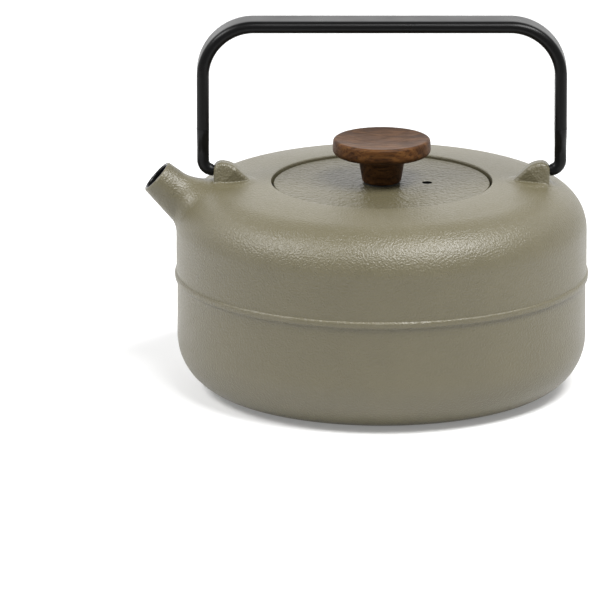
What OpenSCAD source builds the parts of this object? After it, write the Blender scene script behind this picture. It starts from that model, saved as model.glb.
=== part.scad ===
// Cast iron teapot with a folding bail, a flush lid and a hanging infuser.
// Millimetres. The origin is the centre of the flat underside, +Z up, and the spout points along -X.

/* [Pot] */
// Radius of the wall above the belt
wall_r = 90; // [84:0.5:96]
// Thickness of the casting
wall_t = 3.2; // [2.6:0.1:4]
// Thickness of the floor
floor_t = 4; // [3:0.5:6]
// How much smaller the wall is below the belt
lower_step = 0.4; // [0.2:0.1:1]
// Radius of the rounded bottom edge
foot_r = 23.3; // [18:0.1:28]
// Height at which the shoulder starts to round over
shoulder_z = 70.7; // [66:0.1:74]
// Radius of the outer part of the shoulder
shoulder_r = 19.1; // [17:0.1:21]
// Radius of the inner part of the shoulder
hip_r = 24.4; // [22:0.1:27]
// Radius of the almost flat top
crown_r = 191; // [150:1:240]

/* [Belt] */
// Height of the belt's lower edge
belt_z = 49.2; // [40:0.1:56]
// Height of the belt itself
belt_h = 2.8; // [2:0.1:5]
// How far the belt stands out from the wall
belt_out = 0.7; // [0.5:0.1:2]

/* [Lid seat] */
// Radius of the round recess that the lid sits in
recess_r = 48.4; // [46:0.1:50]
// Height of the ledge that carries the infuser and the lid
seat_z = 88; // [86:0.1:89]
// Radius of the open throat inside the ledge
throat_r = 42; // [40:0.5:44]

/* [Spout] */
// Elevation of the spout's axis
spout_tilt = 42; // [36:1:48]
// Distance from the pot's axis to the centre of the mouth
mouth_x = 98.7; // [96:0.1:104]
// Height of the centre of the mouth
mouth_z = 94.2; // [90:0.1:98]
// Outer radius of the mouth
mouth_r = 7.9; // [6.5:0.1:8.5]
// Wall thickness at the mouth
mouth_wall = 1.7; // [1.2:0.1:2.4]
// Half angle of the spout's cone
spout_taper = 6.4; // [4:0.1:8]

/* [Lugs] */
// Distance from the pot's axis to the outer face of a lug
lug_x = 73.5; // [70:0.1:75]
// Height of the top of a lug
lug_top = 100.7; // [100:0.1:104]
// Radius of the rounded outer corner of a lug
lug_round = 3.5; // [3:0.1:6]
// Radius of the long curve from a lug's top to its inner slope
lug_crest = 10; // [6:0.5:14]
// Thickness of a lug at its outer face
lug_w = 10.5; // [9:0.5:12]
// Thickness of a lug at its inner tip
lug_tip_w = 3; // [2:0.5:6]
// Lean of a lug's two faces towards its top, in degrees, so that the pattern leaves the sand
lug_draft = 11; // [0:0.5:14]
// Height of the small pad that a lug stands on
pad_z = 91.4; // [91:0.1:93]

/* [Bail] */
// Height of the pivot axis
pivot_z = 96.9; // [95:0.1:98]
// Half the outer width of the bail
bail_half = 80.9; // [80.5:0.1:84]
// Height of the top of the bail
bail_top = 165.1; // [150:0.1:180]
// Thickness of the flat-oval tube
bar_t = 5.4; // [5:0.1:7]
// Width of the flat-oval tube
bar_w = 15.6; // [12:0.1:16]
// Wall thickness of the tube
bar_wall = 1.1; // [0.8:0.1:1.5]
// Outer radius of the two upper corners
bar_corner = 25; // [20:0.5:32]
// Height of the tube's two open ends
bar_end_z = 117; // [112:0.5:125]
// Diameter of the round rod of a hook
rod_d = 5.3; // [5:0.1:5.4]
// Diameter of the pivot pin at the end of a hook
pin_d = 4.4; // [4:0.1:4.8]
// Depth of the blind pivot hole in a lug
pin_depth = 6; // [5:0.5:6.5]

/* [Lid] */
// Radius of the lid
lid_r = 47.4; // [45:0.1:48]
// Height of the lid's top face
lid_top = 91.1; // [90.8:0.1:92]
// Distance from the axis to the steam hole
vent_x = 19.9; // [16:0.1:30]
// Diameter of the steam hole
vent_d = 4.4; // [3:0.1:5]

/* [Knob] */
// Radius of the knob's disc
knob_r = 21.5; // [18:0.1:24]
// Height of the knob's top rim
knob_top = 111.1; // [108:0.1:115]
// Radius of the stem at its foot
stem_r = 8.6; // [7:0.1:9.5]
// Radius of the stem where it meets the disc
neck_r = 10.6; // [9:0.1:12]

/* [Infuser] */
// Outer radius of the basket
basket_r = 39.6; // [36:0.1:40]
// Height of the underside of the basket
basket_z = 36; // [30:1:50]
// Thickness of the sheet steel
sheet_t = 0.6; // [0.4:0.1:0.8]

/* [Hidden] */

$fn = 64;
eps = 0.01;

iron_color = "#8b8470";
lid_color = "#8f8974";
black_color = "#202021";
steel_color = "#b9bcbf";
wood_color = "#6b4630";
brass_color = "#b8964a";

// Angles, from the horizontal, at which the shoulder's three arcs meet.
shoulder_turn = 52;
hip_turn = 83;
lower_r = wall_r - lower_step;
belt_r = wall_r + belt_out;
belt_edge = 0.4;
edge_round = 0.6;

// The lid and the infuser hang on each other with a hair of space.
rest_gap = 0.05;
flange_z = seat_z + rest_gap;
flange_top = flange_z + sheet_t;
lid_under = flange_top + rest_gap;
flange_r = recess_r - 1.2;
skirt_r = 37.4;
skirt_h = 4;
skirt_wall = 2;

// The knob's fastener: a 4 mm screw through the lid into a threaded insert.
gasket_t = 0.5;
gasket_r = stem_r - 0.7;
stem_z = lid_top + gasket_t;
screw_r = 2;
screw_hole_r = 2.2;
boss_r = 8;
boss_h = 1.4;
boss_z = lid_under - boss_h;
washer_r = 5;
washer_t = 0.8;
head_r = 3.8;
head_h = 2.2;
insert_r = 3.4;
insert_h = 9;
screw_top = stem_z + insert_h - 1;
disc_under = knob_top - 7.2;
dish_depth = 1.7;

// The bail: clearance of the pins in their holes, and the joint of tube and hook.
pin_gap = 0.07;
face_gap = 0.3;
end_gap = 0.8;
bend_inner = 1.8;
plug_len = 12;
plug_gap = 0.1;
collar_h = 0.7;
collar_out = 0.15;
swage_h = 12;
bend_r = bend_inner + rod_d / 2;
leg_x = bail_half - bar_t / 2;
pin_root = lug_x + face_gap;
pin_tip = lug_x - pin_depth + end_gap;

// The spout, in its own frame: t runs from the mouth down the axis.
spout_len = 24;
flare_start = 14;
flare_r = 22;
bore_len = 34;

// Points along an arc about c, from angle a0 to a1.
function arc(c, r, a0, a1, steps) =
    [for (i = [0:steps]) let (a = a0 + (a1 - a0) * i / steps) c + r * [cos(a), sin(a)]];

// Centre of the next arc of a smooth chain: the arcs share their normal at angle a.
function next_centre(c, r_now, r_next, a) = c + (r_now - r_next) * [cos(a), sin(a)];

// Right half of the pot's section, moved inwards by inset.
shoulder_c = [wall_r - shoulder_r, shoulder_z];
hip_c = next_centre(shoulder_c, shoulder_r, hip_r, shoulder_turn);
crown_c = next_centre(hip_c, hip_r, crown_r, hip_turn);
function crown_angle(x, inset) = acos((x - crown_c[0]) / (crown_r - inset));
function crown_z(x) = crown_c[1] + crown_r * sin(crown_angle(x, 0));
function shoulder_line(inset, end_r) = concat(
    arc(shoulder_c, shoulder_r - inset, 0, shoulder_turn, 10),
    arc(hip_c, hip_r - inset, shoulder_turn, hip_turn, 6),
    arc(crown_c, crown_r - inset, hip_turn, crown_angle(end_r, inset), 4)
);
function foot_line() = arc([lower_r - foot_r, foot_r], foot_r, -90, 0, 12);

function spout_radius(t) = mouth_r + t * tan(spout_taper)
    + (t > flare_start ? flare_r - sqrt(flare_r * flare_r - pow(t - flare_start, 2)) : 0);

// Moves its children from the spout's own frame, where the mouth is at z = 0 and
// the channel runs down -Z, to the pot.
module at_spout() {
    translate([-mouth_x, 0, mouth_z]) rotate([0, spout_tilt - 90, 0]) children();
}

module outer_form() {
    rim = crown_z(recess_r);
    rotate_extrude($fn = 128) polygon(concat(
        [[0, 0]],
        foot_line(),
        [[lower_r, belt_z], [belt_r, belt_z + belt_edge], [belt_r, belt_z + belt_h - belt_edge],
         [wall_r, belt_z + belt_h]],
        shoulder_line(0, recess_r + edge_round),
        arc([recess_r + edge_round, rim - edge_round], edge_round, 90, 180, 4),
        [[recess_r, seat_z], [0, seat_z]]
    ));
}

module cavity() {
    ledge_z = seat_z - wall_t;
    rotate_extrude($fn = 128) polygon(concat(
        [[0, floor_t]],
        arc([lower_r - foot_r, floor_t + foot_r - wall_t], foot_r - wall_t, -90, 0, 10),
        shoulder_line(wall_t, recess_r + wall_t + 4),
        arc([recess_r + wall_t + 2, ledge_z + 1], 1, 90, 270, 4),
        [[throat_r, ledge_z], [throat_r, seat_z + 1], [0, seat_z + 1]]
    ));
}

module lug() {
    top_x = lug_x - lug_round;
    corner = [top_x, lug_top - lug_round];
    crest = [top_x, lug_top - lug_crest];
    slope = crest + lug_crest * [-sin(45), cos(45)];
    base_z = pad_z - 4;
    tip_x = slope[0] - (slope[1] - base_z);
    intersection() {
        translate([0, lug_w / 2, 0]) rotate([90, 0, 0]) linear_extrude(lug_w)
            polygon(concat([[tip_x, base_z], [lug_x, base_z]],
                arc(corner, lug_round, 0, 90, 6), arc(crest, lug_crest, 95, 135, 7)));
        translate([0, 0, base_z - 1]) linear_extrude(lug_top) polygon([
            [tip_x - 1, -lug_tip_w / 2], [top_x, -lug_w / 2], [lug_x + 1, -lug_w / 2],
            [lug_x + 1, lug_w / 2], [top_x, lug_w / 2], [tip_x - 1, lug_tip_w / 2]
        ]);
        low_y = lug_w / 2 + (pad_z - base_z + 1) * tan(lug_draft);
        high_y = lug_w / 2 - (lug_top - pad_z + 1) * tan(lug_draft);
        translate([tip_x - 2, 0, 0]) rotate([90, 0, 90]) linear_extrude(lug_x - tip_x + 4) polygon([
            [-low_y, base_z - 1], [low_y, base_z - 1], [high_y, lug_top + 1], [-high_y, lug_top + 1]
        ]);
    }
    pad_r = 8.5;
    translate([lug_x - pad_r, 0, base_z]) cylinder(r = pad_r, h = pad_z - base_z);
}

module pivot_hole() {
    translate([lug_x - pin_depth, 0, pivot_z]) rotate([0, 90, 0])
        cylinder(r = pin_d / 2 + pin_gap, h = pin_depth + 2);
}

module spout_form() {
    at_spout() rotate_extrude() polygon(concat(
        [[0, 0]],
        [for (t = [0:2:spout_len]) [spout_radius(t), -t]],
        [[0, -spout_len]]
    ));
}

module spout_channel() {
    lip = mouth_r - mouth_wall;
    at_spout() translate([0, 0, -bore_len])
        cylinder(r1 = lip + bore_len * tan(spout_taper), r2 = lip - tan(spout_taper), h = bore_len + 1);
}

module both_sides() {
    children();
    mirror([1, 0, 0]) children();
}

module pot_body() {
    color(iron_color) difference() {
        union() {
            outer_form();
            spout_form();
            both_sides() lug();
        }
        cavity();
        spout_channel();
        both_sides() pivot_hole();
    }
}

// Section of the tube, upright, with full-round edges.
module flat_oval(t, w) {
    square([t, w - t], center = true);
    for (s = [-1, 1]) translate([0, s * (w - t) / 2]) circle(d = t, $fn = 48);
}

// The U of the bail with a section t thick and w wide, its legs ending at end_z.
module bail_u(t, w, end_z) {
    corner_x = bail_half - bar_corner;
    corner_z = bail_top - bar_corner;
    mid_r = bar_corner - bar_t / 2;
    both_sides() {
        translate([leg_x, 0, end_z]) linear_extrude(corner_z - end_z) flat_oval(t, w);
        translate([corner_x, 0, corner_z]) rotate([90, 0, 0])
            rotate_extrude(angle = 90, $fn = 96) translate([mid_r, 0]) flat_oval(t, w);
    }
    translate([-corner_x, 0, bail_top - bar_t / 2]) rotate([90, 0, 90])
        linear_extrude(2 * corner_x) rotate(90) flat_oval(t, w);
}

module bail_bar() {
    color(black_color) difference() {
        bail_u(bar_t, bar_w, bar_end_z);
        bail_u(bar_t - 2 * bar_wall, bar_w - 2 * bar_wall, bar_end_z - 1);
    }
}

// A hook on the +X side: plug, collar, swaged neck, round rod, bend and pivot pin.
module hook() {
    collar_z = bar_end_z - collar_h;
    plug_t = bar_t - 2 * bar_wall - 2 * plug_gap;
    plug_w = bar_w - 2 * bar_wall - 2 * plug_gap;
    bend_z = pivot_z + bend_r;
    translate([leg_x, 0, 0]) {
        translate([0, 0, bar_end_z]) linear_extrude(plug_len) flat_oval(plug_t, plug_w);
        translate([0, 0, collar_z]) linear_extrude(collar_h)
            flat_oval(bar_t + 2 * collar_out, bar_w + 2 * collar_out);
        intersection() {
            translate([0, 0, collar_z - swage_h]) linear_extrude(swage_h) flat_oval(bar_t, bar_w);
            translate([0, 0, collar_z - swage_h])
                cylinder(r1 = rod_d / 2, r2 = bar_w / 2, h = swage_h);
        }
        translate([0, 0, bend_z]) cylinder(d = rod_d, h = collar_z - bend_z);
    }
    translate([leg_x - bend_r, 0, bend_z]) rotate([90, 0, 0]) rotate([0, 0, -90])
        rotate_extrude(angle = 90) translate([bend_r, 0]) circle(d = rod_d, $fn = 48);
    translate([pin_tip, 0, pivot_z]) rotate([0, 90, 0])
        cylinder(d = pin_d, h = leg_x - bend_r - pin_tip);
    if (leg_x - bend_r > pin_root) translate([pin_root, 0, pivot_z]) rotate([0, 90, 0])
        cylinder(d = rod_d, h = leg_x - bend_r - pin_root);
}

module bail_hook_left() {
    color(black_color) mirror([1, 0, 0]) hook();
}

module bail_hook_right() {
    color(black_color) hook();
}

// A ring between two radii.
module ring(r_out, r_in, h) {
    difference() {
        cylinder(r = r_out, h = h, $fn = 96);
        translate([0, 0, -eps]) cylinder(r = r_in, h = h + 2 * eps, $fn = 96);
    }
}

module infuser_rim() {
    collar_len = 10;
    color(steel_color) {
        translate([0, 0, flange_z]) ring(flange_r, basket_r - sheet_t, sheet_t);
        translate([0, 0, flange_top - collar_len]) ring(basket_r, basket_r - sheet_t, collar_len);
    }
}

module infuser_wall() {
    wall_z = basket_z + sheet_t;
    color(steel_color) translate([0, 0, wall_z])
        ring(basket_r - sheet_t, basket_r - 2 * sheet_t, flange_top - 2 - wall_z);
}

module infuser_base() {
    lip_h = 6;
    color(steel_color) translate([0, 0, basket_z]) {
        cylinder(r = basket_r, h = sheet_t, $fn = 96);
        ring(basket_r, basket_r - sheet_t, lip_h);
    }
}

module lid_plate() {
    bottom_skirt = lid_under - skirt_h;
    color(lid_color) difference() {
        union() {
            rotate_extrude($fn = 128) polygon(concat(
                [[0, lid_under], [lid_r, lid_under]],
                arc([lid_r - edge_round, lid_top - edge_round], edge_round, 0, 90, 4),
                [[0, lid_top]]
            ));
            translate([0, 0, bottom_skirt]) ring(skirt_r, skirt_r - skirt_wall, skirt_h + 1);
            translate([0, 0, boss_z]) cylinder(r = boss_r, h = boss_h + 1);
        }
        translate([0, 0, boss_z - 1]) cylinder(r = screw_hole_r, h = lid_top - boss_z + 2);
        translate([vent_x, 0, lid_under - 1]) cylinder(d = vent_d, h = lid_top - lid_under + 2);
    }
}

module knob_gasket() {
    color(black_color) translate([0, 0, lid_top]) ring(gasket_r, screw_hole_r, gasket_t);
}

module lid_knob() {
    side_r = 2.6;
    rim_r = 1.4;
    color(wood_color) difference() {
        rotate_extrude($fn = 128) polygon(concat(
            [[0, stem_z], [stem_r - 0.5, stem_z], [stem_r, stem_z + 0.6]],
            [[neck_r, disc_under - 0.4], [neck_r + 0.5, disc_under]],
            arc([knob_r - side_r, disc_under + side_r], side_r, -75, 0, 5),
            arc([knob_r - 0.2 - rim_r, knob_top - rim_r], rim_r, 10, 110, 5),
            [for (i = [1:6]) let (u = 1 - i / 6)
                [(knob_r - 2.6) * u, knob_top - 0.2 - (dish_depth - 0.2) * (1 - u * u)]]
        ));
        translate([0, 0, stem_z - 1]) cylinder(r = insert_r, h = insert_h + 1);
        translate([0, 0, stem_z]) cylinder(r = screw_r, h = insert_h + 1.5);
    }
}

module knob_insert() {
    color(brass_color) translate([0, 0, stem_z]) difference() {
        cylinder(r = insert_r, h = insert_h);
        translate([0, 0, -eps]) cylinder(r = screw_r + 0.05, h = insert_h + 2 * eps);
    }
}

module knob_washer() {
    color(steel_color) translate([0, 0, boss_z - washer_t]) ring(washer_r, screw_hole_r, washer_t);
}

module knob_screw() {
    head_z = boss_z - washer_t - head_h;
    slot_w = 1;
    color(steel_color) difference() {
        union() {
            translate([0, 0, head_z]) cylinder(r = head_r, h = head_h);
            translate([0, 0, head_z + head_h - eps]) cylinder(r = screw_r, h = screw_top - head_z - head_h);
        }
        translate([-head_r - 1, -slot_w / 2, head_z - 1]) cube([2 * head_r + 2, slot_w, 2]);
    }
}

pot_body();
bail_bar();
bail_hook_left();
bail_hook_right();
infuser_rim();
infuser_wall();
infuser_base();
lid_plate();
knob_gasket();
lid_knob();
knob_insert();
knob_washer();
knob_screw();
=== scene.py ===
# %% [markdown]
# A cast iron teapot
#
# The pot is one iron casting with a spout and two lugs, a flush lid with a turned walnut knob, a black
# bail that folds, and a steel infuser that hangs in the mouth. The frame gives each part its place.
# This lesson makes the visible surfaces around that frame, one piece at a time.

# %% Load the frame
import math

import bpy
import numpy as np
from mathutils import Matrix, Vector


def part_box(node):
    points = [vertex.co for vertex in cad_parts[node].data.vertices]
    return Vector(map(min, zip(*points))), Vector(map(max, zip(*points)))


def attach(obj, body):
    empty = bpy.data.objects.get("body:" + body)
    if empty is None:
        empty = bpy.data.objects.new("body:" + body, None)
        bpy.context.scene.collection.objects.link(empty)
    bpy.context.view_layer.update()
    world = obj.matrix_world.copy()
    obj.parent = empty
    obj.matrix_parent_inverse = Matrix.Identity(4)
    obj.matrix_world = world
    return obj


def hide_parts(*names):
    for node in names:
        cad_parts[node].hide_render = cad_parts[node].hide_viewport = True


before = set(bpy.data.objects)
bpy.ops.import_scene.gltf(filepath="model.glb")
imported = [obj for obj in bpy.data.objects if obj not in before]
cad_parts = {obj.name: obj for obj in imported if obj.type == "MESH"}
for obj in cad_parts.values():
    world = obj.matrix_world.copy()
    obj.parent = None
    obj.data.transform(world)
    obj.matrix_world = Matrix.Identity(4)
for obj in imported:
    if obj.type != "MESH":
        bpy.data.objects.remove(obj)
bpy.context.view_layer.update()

MM = 0.001
CREASE = 34  # degrees between faces above which an edge is drawn sharp

# %% [markdown]
# Grids
#
# Every new piece is a grid of points: rows of rings, each ring closed on itself. Arrays make the whole
# grid at once, and the same few lines turn any grid into quads. Most pieces could be turned with the
# Spin tool instead, but a formula keeps every edge radius exact and easy to change.

# %% Grids of points to meshes
def grid(rings, slots=0, loop=False, start=None, end=None, keep=None):
    """A closed surface from rings, an array (rows, columns, 3). Each ring joins the next by quads.

    loop joins the last ring to the first; start and end are points that close an open end by a fan.
    slots is the material slot of each row of quads, and keep marks the quads that stay.
    """
    rows, columns = rings.shape[:2]
    count = rows if loop else rows - 1
    row = np.arange(count)[:, None]
    column = np.arange(columns)[None, :]
    following = (column + 1) % columns
    below = ((row + 1) % rows) * columns
    corners = (row * columns + column, row * columns + following, below + following, below + column)
    quads = np.stack(np.broadcast_arrays(*corners), -1)
    slot_of = np.broadcast_to(np.broadcast_to(slots, count)[:, None], (count, columns))
    kept = np.ones((count, columns), bool) if keep is None else keep
    points = [rings.reshape(-1, 3)]
    triangles, triangle_slots = [], []
    size = rows * columns
    fan = np.arange(columns)
    for pole, first, turn in ((start, 0, 1), (end, size - columns, 0)):
        if pole is not None:
            points.append(np.array(pole, float)[None])
            edge = (first + fan, first + np.roll(fan, -1))
            triangles.append(np.stack([edge[turn], edge[1 - turn], np.full(columns, size)], -1))
            triangle_slots.append(np.full(columns, slot_of[0 if turn else -1, 0]))
            size += 1
    return {
        "points": np.concatenate(points),
        "quads": quads[kept],
        "quad_slots": slot_of[kept],
        "triangles": np.concatenate(triangles) if triangles else np.zeros((0, 3), int),
        "triangle_slots": np.concatenate(triangle_slots) if triangles else np.zeros(0, int),
    }


def volume(part):
    """The signed volume of a closed grid: the sum over its triangles of one sixth of their box product."""
    q = part["quads"]
    faces = np.concatenate([q[:, [0, 1, 2]], q[:, [0, 2, 3]], part["triangles"]])
    a, b, c = (part["points"][faces[:, i]] for i in range(3))
    return float(np.einsum("ij,ij->i", a, np.cross(b, c)).sum() / 6)


def add(name, data):
    """A new object in the scene."""
    made = bpy.data.objects.new(name, data)
    bpy.context.scene.collection.objects.link(made)
    return made


def make(name, parts, materials, body, stands_for=(), crease=CREASE):
    """One object from closed grids, with its faces outwards, riding on a body of the frame."""
    points, loops, totals, slots = [], [], [], []
    offset = 0
    for part in parts:
        step = -1 if volume(part) < 0 else 1
        points.append(part["points"])
        for faces, face_slots in (("quads", "quad_slots"), ("triangles", "triangle_slots")):
            indices = part[faces][:, ::step] + offset
            loops.append(indices.reshape(-1))
            totals.append(np.full(len(indices), indices.shape[1]))
            slots.append(part[face_slots])
        offset += len(part["points"])
    points, loops, totals, slots = (np.concatenate(a) for a in (points, loops, totals, slots))
    mesh = bpy.data.meshes.new(name)
    mesh.vertices.add(len(points))
    mesh.vertices.foreach_set("co", points.astype(np.float32).reshape(-1))
    mesh.loops.add(len(loops))
    mesh.loops.foreach_set("vertex_index", loops.astype(np.int32))
    mesh.polygons.add(len(totals))
    starts = np.concatenate([[0], np.cumsum(totals)[:-1]])
    mesh.polygons.foreach_set("loop_start", starts.astype(np.int32))
    mesh.polygons.foreach_set("material_index", slots.astype(np.int32))
    mesh.polygons.foreach_set("use_smooth", np.ones(len(totals), bool))
    mesh.update(calc_edges=True)
    mesh.validate()
    mesh.set_sharp_from_angle(angle=math.radians(crease))
    for material in materials:
        mesh.materials.append(material)
    piece = add(name, mesh)
    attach(piece, body)
    if stands_for:
        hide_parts(*stands_for)
    triangles = int((totals - 2).sum())
    size = (points.max(0) - points.min(0)) / MM
    print(f"{name}: {triangles} triangles, {size.round(1)} mm")
    return piece


# %% Profiles and turning
def arc(centre, radius, start, end, count):
    """Points on a circle round centre from angle start to end, in degrees."""
    a = np.radians(np.linspace(start, end, count))
    return np.stack([centre[0] + radius * np.cos(a), centre[1] + radius * np.sin(a)], -1)


def line(start, end, count):
    """Evenly spaced points from start up to, and without, end."""
    return np.linspace(start, end, count, endpoint=False)


def circle(count):
    """Even angles once round."""
    return np.linspace(0, 2 * np.pi, count, endpoint=False)


def turn(profile, columns=192):
    """Rings of a turned form: each point (r, z) of the profile goes round the upright axis once."""
    a = circle(columns)
    r, z = profile[:, 0, None], profile[:, 1, None]
    x = r * np.cos(a)
    return np.stack([x, r * np.sin(a), np.broadcast_to(z, x.shape)], -1)


def smoothstep(u):
    """0 below 0, 1 above 1, and 3u^2 - 2u^3 between."""
    u = np.clip(u, 0, 1)
    return u * u * (3 - 2 * u)


# %% [markdown]
# Node helpers
#
# A material is a small graph. These helpers add a node, set its values and wire it in one call, so each
# material below reads as a recipe. Effects that several finishes share are node groups, built once.

# %% Node helpers
def node(tree, kind, inputs=None, **settings):
    """Adds a node. inputs maps a socket's name or number to a value, or to a socket to wire in."""
    made = tree.nodes.new(kind)
    for key, value in settings.items():
        setattr(made, key, value)
    for key, value in (inputs or {}).items():
        socket = made.inputs[key]
        if isinstance(value, bpy.types.NodeSocket):
            tree.links.new(value, socket)
        else:
            socket.default_value = value
    return made


def sum_of(tree, a, b, operation="ADD"):
    """The output of a Math node."""
    return node(tree, "ShaderNodeMath", {0: a, 1: b}, operation=operation).outputs[0]


def between(tree, value, low, high, out_low=0.0, out_high=1.0):
    """Maps value from low..high to out_low..out_high, clamped."""
    ranges = {0: value, 1: low, 2: high, 3: out_low, 4: out_high}
    return node(tree, "ShaderNodeMapRange", ranges).outputs[0]


def mixed(tree, factor, a, b):
    """A mix of two colours by factor."""
    made = node(tree, "ShaderNodeMix", data_type="RGBA")
    for socket, value in ((made.inputs[0], factor), (made.inputs[6], a), (made.inputs[7], b)):
        if isinstance(value, bpy.types.NodeSocket):
            tree.links.new(value, socket)
        else:
            socket.default_value = value
    return made.outputs[2]


def noise(tree, place, scale, detail=2.0, roughness=0.5):
    """The value of a noise texture, scale in cells per metre."""
    values = {"Vector": place, "Scale": scale, "Detail": detail, "Roughness": roughness}
    return node(tree, "ShaderNodeTexNoise", values).outputs[0]


def stretched(tree, place, factors):
    """The place with each axis scaled, which draws a pattern out along the axes with small factors."""
    return node(tree, "ShaderNodeMapping", {"Vector": place, "Scale": factors}).outputs[0]


def group(name, inputs, outputs):
    """An empty node group with float inputs, plus Place, and float outputs; returns it and its two ends."""
    tree = bpy.data.node_groups.new(name, "ShaderNodeTree")
    tree.interface.new_socket("Place", in_out="INPUT", socket_type="NodeSocketVector")
    for label, default in inputs.items():
        made = tree.interface.new_socket(label, in_out="INPUT", socket_type="NodeSocketFloat")
        made.default_value = default
    for label in outputs:
        tree.interface.new_socket(label, in_out="OUTPUT", socket_type="NodeSocketFloat")
    return tree, tree.nodes.new("NodeGroupInput").outputs, tree.nodes.new("NodeGroupOutput").inputs


def finish_material(name, colour, roughness, metallic=0.0, **more):
    """A material with a Principled shader; returns it, its tree, the shader and the place on the piece."""
    material = bpy.data.materials.new(name)
    material.use_nodes = True
    tree = material.node_tree
    shader = tree.nodes["Principled BSDF"]
    shader.inputs["Base Color"].default_value = (*colour, 1)
    shader.inputs["Roughness"].default_value = roughness
    shader.inputs["Metallic"].default_value = metallic
    for key, value in more.items():
        shader.inputs[key.replace("_", " ")].default_value = value
    material.diffuse_color = (*colour, 1)
    place = tree.nodes.new("ShaderNodeTexCoord").outputs["Object"]
    return material, tree, shader, place


def use_group(tree, shared, place, **values):
    """Places a shared group in a material with its own values."""
    made = node(tree, "ShaderNodeGroup", node_tree=shared)
    tree.links.new(place, made.inputs["Place"])
    for key, value in values.items():
        made.inputs[key.replace("_", " ")].default_value = value
    return made.outputs


def bump(tree, shader, height, depth):
    """Feeds a height, worth depth metres at 1, to the shader's normal."""
    values = {"Height": height, "Distance": depth, "Strength": 1.0}
    tree.links.new(node(tree, "ShaderNodeBump", values).outputs[0], shader.inputs["Normal"])


# %% [markdown]
# Shared surface effects
#
# Sand leaves a cast face with fine round pebbles on a slow, shallow swell, and a sprayed coat softens
# both. The pebbles are one noise at about a millimetre, the swell another at a few millimetres.
# The same group serves the pot, the lid and the enamel with different weights. Paint and rubber share
# a second group, a finer grain.

# %% Cast skin group
cast_skin, skin_in, skin_out = group(
    "cast_skin", {"Pebbles": 1150.0, "Swell": 150.0, "Swell share": 0.3}, ["Height", "Mottle"]
)
pebbles = noise(cast_skin, skin_in["Place"], skin_in["Pebbles"], 1.5, 0.55)
round_pebbles = between(cast_skin, pebbles, 0.3, 0.72)
swell = noise(cast_skin, skin_in["Place"], skin_in["Swell"], 2.0, 0.5)
swell_part = sum_of(cast_skin, swell, skin_in["Swell share"], "MULTIPLY")
cast_skin.links.new(sum_of(cast_skin, round_pebbles, swell_part), skin_out["Height"])
mottle = noise(cast_skin, skin_in["Place"], 38.0, 4.0, 0.6)
cast_skin.links.new(between(cast_skin, mottle, 0.3, 0.7), skin_out["Mottle"])
print("group", cast_skin.name, "has", len(cast_skin.nodes), "nodes")

# %% Fine speckle group
speckle, speckle_in, speckle_out = group("speckle", {"Grain": 2600.0}, ["Height"])
speckle.links.new(noise(speckle, speckle_in["Place"], speckle_in["Grain"], 1.0), speckle_out["Height"])
print("group", speckle.name, "has", len(speckle.nodes), "nodes")

# %% [markdown]
# The coats
#
# A warm olive-grey matte coat covers the casting and the lid. It is a little darker where it is thick
# and, on the pot, a little glossier there too, so colour and roughness both follow the shared group's
# mottle slightly. The lid's skin is coarser. Enamel and the bail's paint are black, and glossier.

# %% Olive coats
COAT = (0.089, 0.078, 0.043)
LID_COAT = tuple(0.85 * c for c in COAT)


def olive_coat(name, colour, roughness, specular, depth, **skin_values):
    """A coat over the cast skin; returns the material, its tree, the shader and the skin's outputs."""
    material, tree, shader, place = finish_material(name, colour, roughness, Specular_IOR_Level=specular)
    skin = use_group(tree, cast_skin, place, **skin_values)
    dark, light = ((*[share * c for c in colour], 1) for share in (0.95, 1.04))
    tree.links.new(mixed(tree, skin["Mottle"], dark, light), shader.inputs["Base Color"])
    bump(tree, shader, skin["Height"], depth)
    return material, tree, shader, skin


pot_coat, tree, shader, skin = olive_coat("olive_coat", COAT, 0.42, 0.6, 0.16 * MM)
tree.links.new(between(tree, skin["Mottle"], 0.0, 1.0, 0.38, 0.43), shader.inputs["Roughness"])
lid_coat, *_ = olive_coat("olive_coat_on_turned_face", LID_COAT, 0.4, 0.5, 0.32 * MM,
                          Pebbles=700.0, Swell=330.0, Swell_share=2.0)

# %% Black enamel
ENAMEL = (0.005, 0.005, 0.005)
enamel, tree, shader, place = finish_material("black_enamel", ENAMEL, 0.25, Specular_IOR_Level=0.3)
skin = use_group(tree, cast_skin, place, Pebbles=500.0, Swell_share=0.9)
tree.links.new(between(tree, skin["Mottle"], 0.0, 1.0, 0.18, 0.3), shader.inputs["Roughness"])
bump(tree, shader, skin["Height"], 0.04 * MM)

# %% Black paint for the bail and its hooks
PAINT = (0.003, 0.003, 0.003)


def black_paint(name, grain_scale, cloud_scale, low, high):
    """Paint on steel, with a fine grain and a roughness that drifts between low and high."""
    material, tree, shader, place = finish_material(name, PAINT, 0.3, Specular_IOR_Level=0.14)
    grain = use_group(tree, speckle, place, Grain=grain_scale)
    cloud = noise(tree, place, cloud_scale, 3.0)
    tree.links.new(between(tree, cloud, 0.3, 0.7, low, high), shader.inputs["Roughness"])
    bump(tree, shader, grain["Height"], 0.008 * MM)
    return material


powder = black_paint("black_powder_coat", 2200.0, 60.0, 0.26, 0.34)
hook_paint = black_paint("black_hook_coat", 1500.0, 90.0, 0.27, 0.36)

# %% [markdown]
# Walnut
#
# The knob is turned from a plank with its fibres lying across the pot, so the top shows long streaks
# and the sides show short broken ones, with end grain at the two ends. Growth rings are waves of the
# distance from a far-off line along the fibres, bent by a slow noise. Pores are a fine noise drawn out
# along the fibres, and oil leaves warm and dark blotches.

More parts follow.
